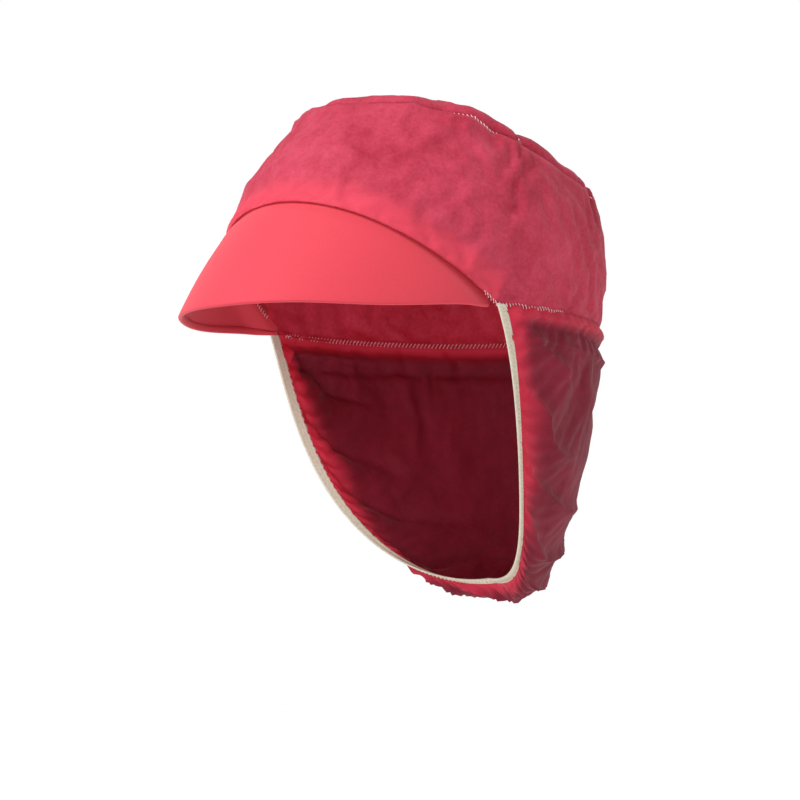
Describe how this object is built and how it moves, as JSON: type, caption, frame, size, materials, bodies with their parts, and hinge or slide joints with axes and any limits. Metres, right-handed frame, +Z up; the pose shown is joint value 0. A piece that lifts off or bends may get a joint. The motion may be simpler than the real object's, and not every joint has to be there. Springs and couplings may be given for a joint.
{
  "type": "snood cap",
  "caption": "Soft nonwoven work cap with a slumped top, a stiffened peak and an elastic-edged snood that covers the hair and the nape.",
  "frame": {"origin": "centre of the head opening, in the plane of the rim", "axes": "+Z up out of the crown, -Y forward over the peak, +X towards the wearer's left"},
  "size_m": [0.1792, 0.2601, 0.2625],
  "materials": {
    "crown_cloth": "thin, translucent, matt nonwoven",
    "snood_cloth": "thin, translucent, matt nonwoven",
    "peak_cloth": "matt nonwoven, drawn smooth over the board",
    "peak_board": "matt",
    "elastic": "flat woven elastic",
    "thread": "matt thread"
  },
  "bodies": {
    "crown": {"crown_wall": "crown_cloth", "crown_top": "crown_cloth", "forehead_band": "peak_cloth", "crown_top_stitching": "thread", "crown_back_stitching": "thread", "peak_seam_stitching": "thread", "snood_seam_stitching": "thread"},
    "peak": {"peak_cover": "peak_cloth", "peak_board": "peak_board", "peak_lining": "peak_cloth"},
    "snood": {"snood": "snood_cloth", "snood_elastic": "elastic", "elastic_stitching": "thread"}
  },
  "joints": [
    {"name": "peak_flex", "type": "hinge", "parent": "crown", "child": "peak", "pos_m": [0, -0.1043, 0.052], "axis": [-1, 0, 0], "range_deg": [0, 20], "stiffness_Nm_per_rad": 0.05},
    {"name": "snood_swing", "type": "hinge", "parent": "crown", "child": "snood", "pos_m": [0, 0.11, 0], "axis": [1, 0, 0], "range_deg": [0, 20], "stiffness_Nm_per_rad": 0.25}
  ]
}
